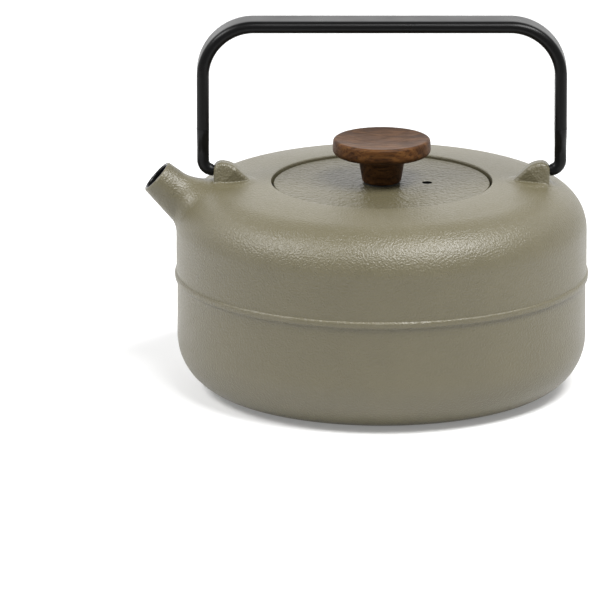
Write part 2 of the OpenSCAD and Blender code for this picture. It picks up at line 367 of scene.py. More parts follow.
# %% Walnut
WOOD = (0.1, 0.045, 0.02)
RING_WAVES, RING_BEND = 1900.0, 0.011  # radians per metre across the rings, and metres of bending
walnut, tree, shader, place = finish_material("oiled_walnut", WOOD, 0.5, Specular_IOR_Level=0.12)
bend = noise(tree, stretched(tree, place, (0.3, 1.0, 1.0)), 80.0, 3.0, 0.5)
split = node(tree, "ShaderNodeSeparateXYZ", {0: place})
across = sum_of(tree, sum_of(tree, split.outputs[2], 0.8, "MULTIPLY"), split.outputs[1])
rings_at = sum_of(tree, across, sum_of(tree, bend, RING_BEND, "MULTIPLY"))
ring_wave = sum_of(tree, sum_of(tree, rings_at, RING_WAVES, "MULTIPLY"), 0.0, "SINE")
rings_soft = between(tree, ring_wave, -1.0, 1.0)
fibres = noise(tree, stretched(tree, place, (0.12, 1.0, 1.0)), 1100.0, 4.0, 0.65)
blotch = noise(tree, stretched(tree, place, (0.45, 1.0, 1.0)), 150.0, 4.0, 0.6)
tone = mixed(tree, rings_soft, (0.066, 0.025, 0.006, 1), (0.097, 0.041, 0.011, 1))
tone = mixed(tree, between(tree, blotch, 0.4, 0.62, 0.0, 0.8), tone, (0.03, 0.011, 0.003, 1))
pores = between(tree, fibres, 0.36, 0.52, 0.75, 0.0)
tone = mixed(tree, pores, tone, (0.014, 0.005, 0.001, 1))
tree.links.new(tone, shader.inputs["Base Color"])
tree.links.new(between(tree, fibres, 0.3, 0.7, 0.6, 0.42), shader.inputs["Roughness"])
bump(tree, shader, fibres, 0.06 * MM)

# %% Steel, brass and rubber
def metal(name, colour, draw, marks, low, high, dark, light):
    """Bare metal. Fine marks round the axis, made by drawing a noise out, change gloss and colour."""
    material, tree, shader, place = finish_material(name, colour, 0.3, 1.0)
    height = noise(tree, stretched(tree, place, (1.0, 1.0, draw)), *marks)
    tree.links.new(between(tree, height, 0.3, 0.7, low, high), shader.inputs["Roughness"])
    tree.links.new(mixed(tree, height, (*dark, 1), (*light, 1)), shader.inputs["Base Color"])
    return material, tree, shader, height


brushed, tree, shader, brush = metal("brushed_steel", (0.6, 0.6, 0.59), 14.0, (160.0, 4.0, 0.7), 0.22, 0.38,
                                     (0.54, 0.54, 0.53), (0.68, 0.68, 0.67))
bump(tree, shader, brush, 0.006 * MM)
brass, *_ = metal("turned_brass", (0.62, 0.43, 0.18), 6.0, (900.0, 2.0), 0.24, 0.42,
                  (0.5, 0.33, 0.12), (0.7, 0.5, 0.22))

rubber, tree, shader, place = finish_material("black_rubber", (0.015, 0.015, 0.015), 0.7)
grain = use_group(tree, speckle, place, Grain=3000.0)
tree.links.new(between(tree, grain["Height"], 0.2, 0.8, 0.6, 0.8), shader.inputs["Roughness"])
bump(tree, shader, grain["Height"], 0.01 * MM)

# %% [markdown]
# The pot's outside, as a distance
#
# The outside is a convex turned form: a wall, a shoulder of two arcs and an almost flat crown. The
# distance of a point from it is the greatest of its distances from the tangent planes. That one
# function serves to blend the spout and lugs into the shoulder, as the pattern maker's wax fillets do.

# %% Dimensions of the casting
BELT_OUT = 0.7 * MM
WALL_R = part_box("pot_body")[1][0] - BELT_OUT
LOWER_R = WALL_R - 0.4 * MM
WALL_T = 3.2 * MM
FLOOR_T = 4.0 * MM
FOOT_R = 23.3 * MM
SHOULDER_Z = 70.7 * MM
ARC_RADII = np.array([19.1, 24.4, 191.0]) * MM
ARC_TURNS = np.array([0.0, 52.0, 83.0, 90.0])


def shoulder_centres():
    """Centres of the three arcs. Neighbours share their normal where they meet."""
    centres = [np.array([WALL_R - ARC_RADII[0], SHOULDER_Z])]
    for i in (1, 2):
        a = math.radians(ARC_TURNS[i])
        step = (ARC_RADII[i - 1] - ARC_RADII[i]) * np.array([math.cos(a), math.sin(a)])
        centres.append(centres[-1] + step)
    return centres


CENTRES = shoulder_centres()


def tangent_planes(per_arc=24):
    """Unit normals (cos a, sin a) over a quarter turn, and how far each tangent plane is from the origin."""
    normals, reaches = [], []
    for i in range(3):
        a = np.radians(np.linspace(ARC_TURNS[i], ARC_TURNS[i + 1], per_arc))
        n = np.stack([np.cos(a), np.sin(a)], -1)
        normals.append(n)
        reaches.append(n @ CENTRES[i] + ARC_RADII[i])
    return np.concatenate(normals), np.concatenate(reaches)


NORMALS, REACHES = tangent_planes()


def from_pot(points):
    """Distance from the outside of the pot, below zero inside: the greatest of all (n . p - reach)."""
    r = np.hypot(points[..., 0], points[..., 1])
    best = np.full(r.shape, -1.0)
    for n, reach in zip(NORMALS, REACHES):
        best = np.maximum(best, n[0] * r + n[1] * points[..., 2] - reach)
    return best


def joined(a, b, fillet):
    """Distance from the union of two forms with a round fillet: inside the corner's square of side
    fillet, the distance is that from a circle of that radius."""
    u = np.maximum(fillet - a, 0)
    v = np.maximum(fillet - b, 0)
    return np.maximum(fillet, np.minimum(a, b)) - np.hypot(u, v)


def surface_along(field, origins, directions, reach, steps=260):
    """The first point along each ray where the field turns positive, by even steps and then bisection."""
    shape = origins.shape[:-1]
    near = np.zeros(shape)
    far = np.full(shape, reach)
    found = np.zeros(shape, bool)
    for s in np.linspace(0, reach, steps)[1:]:
        outside = field(origins + s * directions) > 0
        far = np.where(outside & ~found, s, far)
        near = np.where(~outside & ~found, s, near)
        found |= outside
    for _ in range(22):
        middle = (near + far) / 2
        outside = field(origins + middle[..., None] * directions) > 0
        far = np.where(outside, middle, far)
        near = np.where(outside, near, middle)
    return origins + far[..., None] * directions


print("crown height, mm:", round((CENTRES[2][1] + ARC_RADII[2]) / MM, 2))

# %% [markdown]
# The shell of the pot
#
# The real shell is poured in sand round a core, so outside and inside follow each other at an even
# wall. One profile is turned: from the middle of the underside, up the outside, over the rim and its
# seat for the lid, and back down the inside to the floor. The belt hides the seam of the two half
# moulds. Where the spout opens, a window is left out of both walls and its four sides are closed.

# %% Profile of the shell
BELT_Z = 49.2 * MM
BELT_H = 2.8 * MM
RECESS_R = 48.4 * MM
SEAT_Z = 88.0 * MM
THROAT_R = 42.0 * MM
EDGE = 0.6 * MM


def crown_angle(r, inset=0.0):
    """The angle at which the crown's arc has the radius r from the axis, in degrees."""
    return math.degrees(math.acos((r - CENTRES[2][0]) / (ARC_RADII[2] - inset)))


def shoulder(inset, end_r):
    """The shoulder's arcs moved in by inset, with the same number of points whatever the inset."""
    turns = [*ARC_TURNS[:3], crown_angle(end_r, inset)]
    counts = (30, 22, 14)
    arcs = [arc(CENTRES[i], ARC_RADII[i] - inset, turns[i], turns[i + 1], counts[i]) for i in range(3)]
    return np.concatenate([arcs[0], arcs[1][1:], arcs[2][1:]])


WINDOW_Z = 69.6 * MM
WINDOW_TOP_R = 72.5 * MM
foot = np.array([LOWER_R - FOOT_R, FOOT_R])
fillet = 0.35 * MM
nose = 0.6 * MM
slant = 1.35 * MM
belt_top = BELT_Z + BELT_H
belt_r = WALL_R + BELT_OUT
rim_z = CENTRES[2][1] + ARC_RADII[2] * math.sin(math.radians(crown_angle(RECESS_R)))
outside = [
    line((0.4 * MM, 0), (LOWER_R - FOOT_R, 0), 24),
    arc(foot, FOOT_R, -90, 0, 40),
    line((LOWER_R, FOOT_R + 2 * MM), (LOWER_R, BELT_Z - fillet), 8),
    arc((LOWER_R + fillet, BELT_Z - fillet), fillet, 180, 90, 5),
    arc((belt_r - nose, BELT_Z + nose), nose, -90, 0, 7),
    arc((belt_r - slant, belt_top - 0.75 * slant), slant, 0, 61, 10),
    arc((WALL_R + fillet, belt_top + 0.75 * fillet), fillet, 245, 180, 5),
    line((WALL_R, belt_top + 1.5 * MM), (WALL_R, WINDOW_Z), 6),
    np.array([[WALL_R, WINDOW_Z]]),
    shoulder(0.0, RECESS_R + EDGE),
    arc((RECESS_R + EDGE, rim_z - EDGE), EDGE, 90, 180, 6)[1:],
    line((RECESS_R, rim_z - EDGE - 0.3 * MM), (RECESS_R, SEAT_Z), 5),
    line((RECESS_R, SEAT_Z), (THROAT_R + 0.4 * MM, SEAT_Z), 6),
    arc((THROAT_R + 0.4 * MM, SEAT_Z - 0.4 * MM), 0.4 * MM, 90, 180, 4),
]
ledge_z = SEAT_Z - WALL_T
inside = [
    line((THROAT_R, SEAT_Z - 1 * MM), (THROAT_R, ledge_z + 0.5 * MM), 3),
    arc((THROAT_R + 0.4 * MM, ledge_z + 0.4 * MM), 0.4 * MM, 180, 270, 4),
    line((THROAT_R + 1 * MM, ledge_z), (RECESS_R + WALL_T + 1.2 * MM, ledge_z), 5),
    arc((RECESS_R + WALL_T + 2 * MM, ledge_z + 1 * MM), 1 * MM, 270, 90, 7)[:-1],
    shoulder(WALL_T, RECESS_R + WALL_T + 4 * MM)[::-1],
    np.array([[WALL_R - WALL_T, WINDOW_Z]]),
    line((WALL_R - WALL_T, WINDOW_Z - 4 * MM), (WALL_R - WALL_T, 56 * MM), 4),
    line((LOWER_R - WALL_T, 46 * MM), (LOWER_R - WALL_T, FLOOR_T + FOOT_R), 5),
    arc((LOWER_R - FOOT_R, FLOOR_T + FOOT_R - WALL_T), FOOT_R - WALL_T, 0, -90, 28),
    line((LOWER_R - FOOT_R - 2 * MM, FLOOR_T), (0.4 * MM, FLOOR_T), 16),
]
before_window = sum(len(part) for part in outside[:8])
outer_count = sum(len(part) for part in outside)
inner_window = outer_count + sum(len(part) for part in inside[:5])
profile = np.concatenate(outside + inside)
print("shell profile:", len(profile), "points, rim at", round(rim_z / MM, 2), "mm")

# %% Turned shell with the spout's window
SHELL_COLUMNS = 256
WINDOW_COLUMNS = 6
shoulder_r = shoulder(0.0, RECESS_R + EDGE)[:, 0]
window_end = before_window + int(np.argmin(np.abs(shoulder_r - WINDOW_TOP_R))) + 1
window_rows = window_end - before_window
middle = SHELL_COLUMNS // 2
first, last = middle - WINDOW_COLUMNS, middle + WINDOW_COLUMNS

shell_rings = turn(profile, SHELL_COLUMNS)
angle = circle(SHELL_COLUMNS)
wobble = 0.05 * MM * (np.sin(5 * angle + 1) + np.sin(9 * angle))
belt_rows = (profile[:, 0] > WALL_R + fillet) & (profile[:, 1] < belt_top + fillet)
shell_rings[belt_rows, :, 2] += wobble
keep = np.ones((len(profile) - 1, SHELL_COLUMNS), bool)
keep[before_window:window_end, first:last] = False
keep[inner_window - window_rows:inner_window, first:last] = False
enamelled = np.arange(len(profile) - 1) >= outer_count - 1
shell = grid(shell_rings, enamelled.astype(int), start=(0, 0, 0), end=(0, 0, FLOOR_T), keep=keep)


def corner(row, column):
    """Index of the shell's point in a row and column."""
    return np.asarray(row) * SHELL_COLUMNS + np.asarray(column)


def strip(a, b):
    """Quads between two lines of points."""
    return np.stack([a[:-1], a[1:], b[1:], b[:-1]], -1)


row_steps = np.arange(window_rows + 1)
columns = np.arange(first, last + 1)
out_rows, in_rows = before_window + row_steps, inner_window - row_steps
sides = [
    strip(corner(out_rows[0], columns), corner(in_rows[0], columns)),
    strip(corner(in_rows[-1], columns), corner(out_rows[-1], columns)),
    strip(corner(in_rows, first), corner(out_rows, first)),
    strip(corner(out_rows, last), corner(in_rows, last)),
]
sides = np.concatenate(sides)[:, ::-1]
shell["quads"] = np.concatenate([shell["quads"], sides])
shell["quad_slots"] = np.concatenate([shell["quad_slots"], np.ones(len(sides), int)])
make("pot_shell", [shell], [pot_coat, enamel], "pot", ["pot_body"])

# %% [markdown]
# The spout's skin
#
# The spout is a short cone that leaves the shoulder on a slant, cast in one with the shell. Its skin
# is found along rays that leave the cone's axis at right angles: each goes out until the blended
# distance turns positive. Near the root the same rays run on to the shoulder, so the skin widens to a
# foot that lies on the pot. A Boolean union would leave a hard line there, which a casting never has.

# %% Lug and pad, as distances
hook_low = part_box("bail_hook_right")[0]
ROD = 5.3 * MM
LUG_X = 73.5 * MM
LUG_TOP = 100.7 * MM
LUG_ROUND = 3.5 * MM
LUG_CREST = 10.0 * MM
LUG_HALF = 5.25 * MM
LUG_TAPER = math.radians(11.5)
LUG_DRAFT = math.radians(11)
PAD_R = 8.5 * MM
PAD_Z = 91.4 * MM
PIVOT_Z = hook_low[2] + ROD / 2
PIN_R = 2.2 * MM


def rounded(a, b, radius):
    """Distance from where two forms overlap, with the edge between them rounded."""
    u = np.maximum(radius + a, 0)
    v = np.maximum(radius + b, 0)
    return np.minimum(-radius, np.maximum(a, b)) + np.hypot(u, v)


def from_pad(points):
    """Distance from the low round pads that carry the lugs, one on each side."""
    x = np.abs(points[..., 0]) - (LUG_X - PAD_R)
    return rounded(np.hypot(x, points[..., 1]) - PAD_R, points[..., 2] - PAD_Z, 0.8 * MM)


def from_lug(points):
    """Distance from the upright lugs: an outline with an upright outer face, a tight outer corner and a
    long curve to a slope of 45 degrees, and faces that draw together inwards and upwards."""
    x = np.abs(points[..., 0]) - (LUG_X - LUG_ROUND)
    z = points[..., 2] - LUG_TOP
    outer = np.where(z > -LUG_ROUND, np.hypot(x, z + LUG_ROUND), x) - LUG_ROUND
    on_crest = z + LUG_CREST > -x
    inner = np.where(on_crest, np.hypot(x, z + LUG_CREST), (z + LUG_CREST - x) * math.sqrt(0.5)) - LUG_CREST
    outline = np.where(x > 0, outer, inner)
    y = np.abs(points[..., 1]) - LUG_HALF
    tapered = np.maximum(y, y * math.cos(LUG_TAPER) - x * math.sin(LUG_TAPER))
    drafted = y * math.cos(LUG_DRAFT) + (points[..., 2] - PAD_Z) * math.sin(LUG_DRAFT)
    return rounded(outline, np.maximum(tapered, drafted), 1.5 * MM)


def with_pads(points):
    """The pot and its pads."""
    return joined(from_pot(points), from_pad(points), 3 * MM)


# %% Spout, as a distance
TILT = math.radians(42)
MOUTH_R = 7.9 * MM
LIP_T = 1.7 * MM
TAPER = math.tan(math.radians(6.4))
CREASE_FILLET, CROWN_FILLET = 2.2 * MM, 10.5 * MM
mouth = np.array([-98.7, 0.0, 94.2]) * MM
out_along = np.array([-math.cos(TILT), 0.0, math.sin(TILT)])
upward = np.array([math.sin(TILT), 0.0, math.cos(TILT)])
sideways = np.array([0.0, 1.0, 0.0])


def spout_frame(points):
    """How deep a point is below the mouth, how far from the axis, and how far above it."""
    d = points - mouth
    up = d @ upward
    return -(d @ out_along), np.hypot(up, d @ sideways), up


def from_cone(points, shrink=0.0):
    """Distance from the spout's cone, which grows from the mouth inwards."""
    depth, away, _ = spout_frame(points)
    return (away - (MOUTH_R - shrink) - depth * TAPER) * math.cos(math.atan(TAPER))


def spout_outside(points):
    """The pot, the pads and the cone joined. The fillet is wide above the spout and narrow below it."""
    _, away, up = spout_frame(points)
    above = 0.5 + 0.5 * up / np.maximum(away, MM)
    fillet = CREASE_FILLET + (CROWN_FILLET - CREASE_FILLET) * smoothstep(above)
    return joined(with_pads(points), from_cone(points), fillet)


def spout_hollow(points):
    """The pot's inside and the channel joined."""
    return joined(from_pot(points) + WALL_T, from_cone(points, LIP_T), 2.5 * MM)


# %% Spout skin
def spout_rings(field, deepest, rows, columns, reach):
    """Rings from the lip to the foot. At each angle the rays start at even depths on the axis down to
    the deepest one. At the sides of the root they lean towards the mouth, so that the foot stays small."""
    around = circle(columns)[None, :]
    share = np.linspace(0, 1, rows)[:, None] ** 0.8
    depth = 1.2 * MM + (deepest(around) - 1.2 * MM) * share
    lean = math.radians(15) * smoothstep((depth / MM - 12) / 14) * (1 - np.cos(2 * around)) / 2
    across = np.cos(around)[..., None] * upward + np.sin(around)[..., None] * sideways
    ray = np.cos(lean)[..., None] * across + np.sin(lean)[..., None] * out_along
    dip = -0.02 * MM + 0.06 * MM * smoothstep((share - 0.93) / 0.07)
    return surface_along(lambda p: field(p) + dip, mouth - depth[..., None] * out_along, ray, reach)


def lip_rings(columns):
    """Half a circle carried round the mouth, from the outer skin over the rim to the channel."""
    a = np.radians(np.linspace(0, 180, 11))[:, None]
    around = circle(columns)[None, :]
    half = LIP_T / 2
    depth = half * (1 - np.sin(a))
    away = MOUTH_R - half + half * np.cos(a) + depth * TAPER
    ring = np.cos(around)[..., None] * upward + np.sin(around)[..., None] * sideways
    return mouth + away[..., None] * ring - depth[..., None] * out_along


COLUMNS = 144
COATED_LIP_ROWS = 4
lip = lip_rings(COLUMNS)
outer = spout_rings(spout_outside, lambda a: (28.2 + 2.3 * np.cos(a)) * MM, 66, COLUMNS, 48 * MM)
inner = spout_rings(spout_hollow, lambda a: (29.5 + 0 * a) * MM, 44, COLUMNS, 48 * MM)
spout_slots = np.ones(len(lip) + len(inner) + len(outer), int)
spout_slots[:COATED_LIP_ROWS] = 0
spout_slots[len(lip) + len(inner):] = 0
spout_grid = grid(np.concatenate([lip, inner, outer[::-1]]), spout_slots, loop=True)
make("pot_spout", [spout_grid], [pot_coat, enamel], "pot", ["pot_body"])

# %% [markdown]
# The lugs
#
# Each lug is an upright fin on a low pad, cast with the pot and drilled for the bail's pin. The pad
# melts into the shoulder and the fin stands on it with a tight root. The skin of both is found along
# rays from one point under the lug. The pin's hole is drilled by a Boolean, as on the real casting.

# %% Lug skins
KERNEL_X, KERNEL_Z = 66.5 * MM, 86.0 * MM
BORDER_X, BORDER_ALONG, BORDER_ACROSS = 65.0 * MM, 13.9 * MM, 14.2 * MM
ROOT_FILLET = 0.6 * MM
PIN_PLAY = 0.07 * MM


def lug_rings(side, rows=84, columns=160):
    """Rings from the border of the pad's foot up to the lug's top. Each ray turns upwards in even steps
    from the direction of its border point."""
    field = spout_outside if side < 0 else with_pads
    kernel = np.array([side * KERNEL_X, 0, KERNEL_Z])
    around = circle(columns)
    border = np.stack([side * BORDER_X + BORDER_ALONG * np.cos(around),
                       BORDER_ACROSS * np.sin(around), np.full(columns, 80 * MM)], -1)
    border = surface_along(field, border, np.array([0, 0, 1.0]), 24 * MM)
    d = border - kernel
    low = np.arctan2(d[:, 2], np.hypot(d[:, 0], d[:, 1]))
    share = np.linspace(0, 1, rows + 1)[:-1, None]
    elevation = low + (math.pi / 2 - low) * share
    flat = d[:, :2] / np.linalg.norm(d[:, :2], axis=1, keepdims=True)
    ray = np.concatenate([np.cos(elevation)[..., None] * flat, np.sin(elevation)[..., None]], -1)
    dip = -0.05 * MM + 0.09 * MM * (1 - smoothstep(share / 0.06))
    origin = np.broadcast_to(kernel, ray.shape)
    lug_field = lambda p: joined(field(p), from_lug(p), ROOT_FILLET) + dip
    rings = surface_along(lug_field, origin, ray, 26 * MM)
    top = kernel * [1, 1, 0] + [0, 0, rings[-1, :, 2].mean()]
    return grid(rings, start=kernel * [1, 1, 0] + [0, 0, 89.5 * MM], end=top)


def drill(piece, start, end, radius):
    """Takes a round hole out of a piece, from start to end along X."""
    a = circle(64)
    ring = np.stack([0 * a, radius * np.cos(a), radius * np.sin(a)], -1)
    rod = grid(np.stack([ring + start, ring + end]), start=start, end=end)
    cutter = make("cutter", [rod], [enamel], "pot")
    cut = piece.modifiers.new("hole", "BOOLEAN")
    cut.object = cutter
    cut.solver = "EXACT"
    bpy.context.view_layer.update()
    whole = bpy.data.meshes.new_from_object(piece.evaluated_get(bpy.context.evaluated_depsgraph_get()))
    piece.modifiers.clear()
    piece.data = whole
    bpy.data.objects.remove(cutter)
    whole.set_sharp_from_angle(angle=math.radians(CREASE))
    print(piece.name, "drilled:", len(whole.polygons), "faces")


for name, side in (("pot_lug_left", -1), ("pot_lug_right", 1)):
    lug = make(name, [lug_rings(side)], [pot_coat], "pot", ["pot_body"])
    hole_start = np.array([side * (LUG_X - 6 * MM), 0, PIVOT_Z])
    drill(lug, hole_start, hole_start + [side * 14 * MM, 0, 0], PIN_R + PIN_PLAY)

# %% [markdown]
# The lid
#
# The lid is a flat cast disc, faced on a lathe before it is coated, with a skirt that keeps it in the
# mouth and a small round boss under the knob. The steam hole is real: nested circles carry the grid
# from the hole's edge to the lid's own edge, their centres sliding from one to the other.

# %% Lid
lid_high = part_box("lid_plate")[1]
LID_R = lid_high[0]
LID_TOP = lid_high[2]
LID_UNDER = 88.7 * MM
VENT = np.array([19.9, 0.0]) * MM
VENT_R = 2.2 * MM
NEST_START, NEST_END = 2.8 * MM, 34 * MM


def nested(z_of, radii):
    """Rings of radii that start round the steam hole and end round the lid's axis."""
    a = circle(192)
    u = (radii - NEST_START) / (NEST_END - NEST_START)
    share = 0.35 * smoothstep(u) + 0.65 * np.clip(u, 0, 1)
    x = (VENT[0] * (1 - share))[:, None] + radii[:, None] * np.cos(a)
    return np.stack([x, radii[:, None] * np.sin(a), np.broadcast_to(z_of[:, None], x.shape)], -1)


across = np.linspace(3.0, 46.2, 40) * MM
edge_top = arc((LID_R - EDGE, LID_TOP - EDGE), EDGE, 90, 0, 7)
edge_low = arc((LID_R - 0.4 * MM, LID_UNDER + 0.4 * MM), 0.4 * MM, 0, -90, 5)
hole_low = arc((VENT_R + 0.3 * MM, LID_UNDER + 0.3 * MM), 0.3 * MM, 270, 180, 5)
hole_top = arc((VENT_R + 0.2 * MM, LID_TOP - 0.2 * MM), 0.2 * MM, 180, 90, 5)
lid_profile = np.concatenate([
    np.stack([across, np.full(40, LID_TOP)], -1), edge_top, edge_low,
    np.stack([across[::-1], np.full(40, LID_UNDER)], -1), hole_low, hole_top])
lid_slots = np.zeros(len(lid_profile), int)
lid_slots[-6:-3] = 1  # the wall of the steam hole is enamelled
lid_plate = grid(nested(lid_profile[:, 1], lid_profile[:, 0]), lid_slots, loop=True)

SKIRT_R, SKIRT_T, SKIRT_Z = 37.4 * MM, 2.0 * MM, 84.7 * MM
BOSS_R = 8.0 * MM
soft = 0.5 * MM
root_z = LID_UNDER + 0.5 * MM  # skirt and boss run this far into the disc
skirt = np.concatenate([
    line((SKIRT_R, root_z), (SKIRT_R, SKIRT_Z + soft), 4),
    arc((SKIRT_R - soft, SKIRT_Z + soft), soft, 0, -90, 6),
    arc((SKIRT_R - SKIRT_T + soft, SKIRT_Z + soft), soft, 270, 180, 6),
    line((SKIRT_R - SKIRT_T, SKIRT_Z + 1 * MM), (SKIRT_R - SKIRT_T, root_z), 4),
    np.array([[SKIRT_R - SKIRT_T, root_z]])])
boss_low = LID_UNDER - 1.4 * MM
boss = np.concatenate([
    line((0.3 * MM, boss_low), (BOSS_R - 0.4 * MM, boss_low), 4),
    arc((BOSS_R - 0.4 * MM, boss_low + 0.4 * MM), 0.4 * MM, -90, 0, 5),
    line((BOSS_R, boss_low + 0.8 * MM), (BOSS_R, root_z), 3),
    np.array([[BOSS_R, root_z]])])
lid_parts = [lid_plate, grid(turn(skirt), loop=True),
             grid(turn(boss, 96), start=(0, 0, boss_low), end=(0, 0, root_z))]
make("lid_disc", lid_parts, [lid_coat, enamel], "lid", ["lid_plate"])

# %% [markdown]
# The knob
#
# Turned walnut: a tapered stem under a thick disc with a rounded side and a shallow dish on top. It is
# bored for a threaded insert, and a rubber ring keeps it off the hot lid.

# %% Knob
knob_low, knob_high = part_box("lid_knob")
KNOB_R = knob_high[0]
KNOB_TOP = knob_high[2]
STEM_Z = knob_low[2]
DISC_Z = KNOB_TOP - 7.2 * MM
SCREW_R, SCREW_END = 2.0 * MM, STEM_Z + 10.5 * MM
INSERT_R, INSERT_END = 3.4 * MM, STEM_Z + 9.0 * MM
side, rim = 2.6 * MM, 1.3 * MM
dish_r = KNOB_R - 2.4 * MM
u = np.linspace(1, 0.02, 20)
knob_profile = np.concatenate([
    line((1.0 * MM, SCREW_END), (SCREW_R, SCREW_END), 2),
    line((SCREW_R, SCREW_END), (SCREW_R, INSERT_END), 2),
    line((SCREW_R, INSERT_END), (INSERT_R, INSERT_END), 2),
    line((INSERT_R, INSERT_END), (INSERT_R, STEM_Z), 4),
    line((INSERT_R, STEM_Z), (7.2 * MM, STEM_Z), 3),
    arc((7.4 * MM, STEM_Z + 1.2 * MM), 1.2 * MM, -90, -8, 7),
    line((8.7 * MM, STEM_Z + 1.8 * MM), (10.35 * MM, DISC_Z - 1.0 * MM), 14),
    arc((11.1 * MM, DISC_Z - 0.75 * MM), 0.75 * MM, 172, 90, 5),
    line((11.6 * MM, DISC_Z), (KNOB_R - side - 1.2 * MM, DISC_Z), 8),
    arc((KNOB_R - side, DISC_Z + side), side, -88, 0, 16),
    line((KNOB_R, DISC_Z + side + 0.4 * MM), (KNOB_R - 0.1 * MM, KNOB_TOP - rim - 0.4 * MM), 6),
    arc((KNOB_R - 0.2 * MM - rim, KNOB_TOP - rim), rim, 8, 98, 12),
    np.stack([dish_r * u, KNOB_TOP - 0.12 * MM - 1.58 * MM * (1 - u ** 2)], -1)])
knob_end = (0, 0, knob_profile[-1, 1])
knob = grid(turn(knob_profile), start=(0, 0, SCREW_END), end=knob_end)
make("knob_turning", [knob], [walnut], "lid", ["lid_knob"], crease=50)

# %% [markdown]
# The bail's tube
#
# A flat-oval steel tube is bent to a U over two round formers and powder-coated black. The section, a
# slot with full-round ends, is carried along the U's middle line, outside and inside.

# %% Bail tube
bar_low, bar_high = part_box("bail_bar")
BAR_T, BAR_W, BAR_WALL = 5.4 * MM, bar_high[1] - bar_low[1], 1.1 * MM
BAR_HALF = bar_high[0] - BAR_T / 2
BAR_TOP = bar_high[2] - BAR_T / 2
BAR_END = bar_low[2]
BEND_R = 25 * MM - BAR_T / 2
ROUND, FLAT = 16, 8


def slot_ring(thickness, width, roundness=0.0):
    """The section's (across, along Y) points: (t/2 cos a, (w - t)/2 s + t/2 sin a), with s running
    along the flats. roundness 1 spaces the angles evenly, as a circle needs them."""
    end = np.linspace(0, np.pi, ROUND + 1)
    flat = np.linspace(-1, 1, FLAT + 1)[1:-1]
    angles = np.concatenate([end, np.full(FLAT - 1, np.pi), end + np.pi, np.full(FLAT - 1, 2 * np.pi)])
    along = np.concatenate([np.ones(ROUND + 1), -flat, -np.ones(ROUND + 1), flat])
    a = (1 - roundness) * angles + roundness * (circle(len(angles)) + np.pi / 6)
    r = thickness / 2
    return np.stack([r * np.cos(a), (width - thickness) / 2 * along + r * np.sin(a)], -1)


def sweep(path, normals, sections):
    """Carries one section per path point. Across lies along the normal in the XZ plane, the other along Y."""
    out = sections[..., 0, None] * normals[:, None, :] + sections[..., 1, None] * sideways
    return path[:, None, :] + out


def upright(points):
    """(x, z) pairs as points in space."""
    return np.stack([points[:, 0], 0 * points[:, 0], points[:, 1]], -1)


corner_centre = np.array([BAR_HALF - BEND_R, BAR_TOP - BEND_R])
half_path = np.concatenate([
    line((BAR_HALF, BAR_END), (BAR_HALF, corner_centre[1]), 10),
    arc(corner_centre, BEND_R, 0, 90, 41),
    line((corner_centre[0] - 5 * MM, BAR_TOP), (0, BAR_TOP), 8)])
half_angle = np.concatenate([np.zeros(10), np.linspace(0, 90, 41), np.full(8, 90.0)])
mirror = [-1, 1]
bail_path = np.concatenate([half_path, [[0, BAR_TOP]], (half_path * mirror)[::-1]])
bail_angle = np.radians(np.concatenate([half_angle, [90.0], (180 - half_angle)[::-1]]))
bail_normals = np.stack([np.cos(bail_angle), 0 * bail_angle, np.sin(bail_angle)], -1)
rows = len(bail_path)
outer_slot = np.repeat(slot_ring(BAR_T, BAR_W)[None], rows, 0)
inner_slot = np.repeat(slot_ring(BAR_T - 2 * BAR_WALL, BAR_W - 2 * BAR_WALL)[None], rows, 0)
tube_outer = sweep(upright(bail_path), bail_normals, outer_slot)
tube_inner = sweep(upright(bail_path), bail_normals, inner_slot)
tube = grid(np.concatenate([tube_outer, tube_inner[::-1]]), loop=True)
make("bail_tube", [tube], [powder], "bail", ["bail_bar"])

# %% [markdown]
# The hooks
#
# Each hook is one round steel rod. Its upper end is forged flat to plug the tube, with a collar that
# stops it there, and its lower end is bent inwards and turned down to the pin in the lug.

# %% Hooks
HOOK_BEND = 1.8 * MM + ROD / 2
COLLAR_Z = BAR_END - 0.7 * MM
COLLAR_PROUD = 0.12 * MM
SWAGE = 12.0 * MM
PLUG_TOP = BAR_END + 12 * MM
PLUG_T, PLUG_W = BAR_T - 2 * BAR_WALL - 0.2 * MM, BAR_W - 2 * BAR_WALL - 0.2 * MM
PIN_TIP = hook_low[0]


